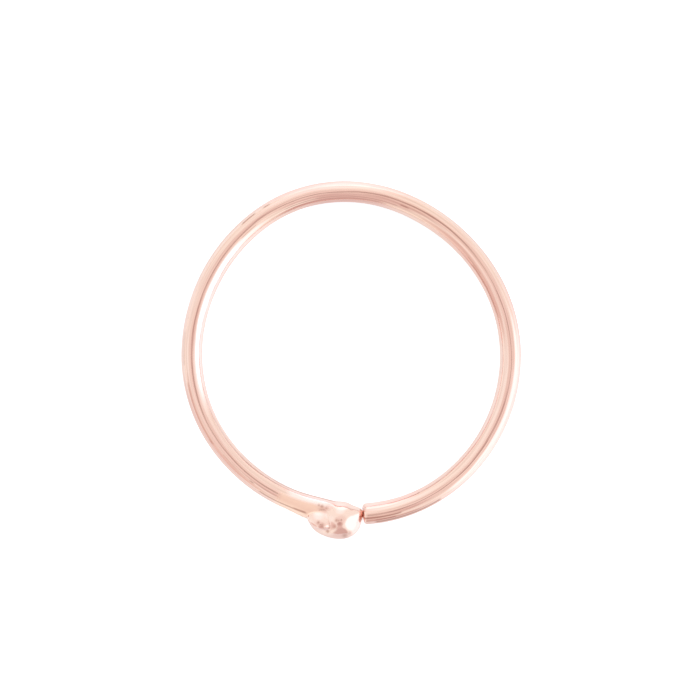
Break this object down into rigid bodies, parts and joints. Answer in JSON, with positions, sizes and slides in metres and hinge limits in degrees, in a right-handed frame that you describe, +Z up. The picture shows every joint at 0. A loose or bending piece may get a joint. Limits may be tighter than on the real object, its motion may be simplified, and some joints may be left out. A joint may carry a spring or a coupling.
{
  "type": "hoop earring",
  "caption": "Small open wire hoop earring in polished rose gold, with an uneven ball on one end and a filed end that nearly touches it.",
  "frame": {"origin": "on the surface that the hoop lies on, under the middle of its bounding box", "axes": "+Z up out of the surface, the hoop lying on its side; +Y away from the ball and +X towards the filed end's side, in the hoop's plane"},
  "size_m": [0.013, 0.0138, 0.0014],
  "materials": {
    "rose_gold": "high polish, with faint lines along the wire"
  },
  "bodies": {
    "root": {"ball_end_hoop": "rose_gold"}
  },
  "joints": []
}
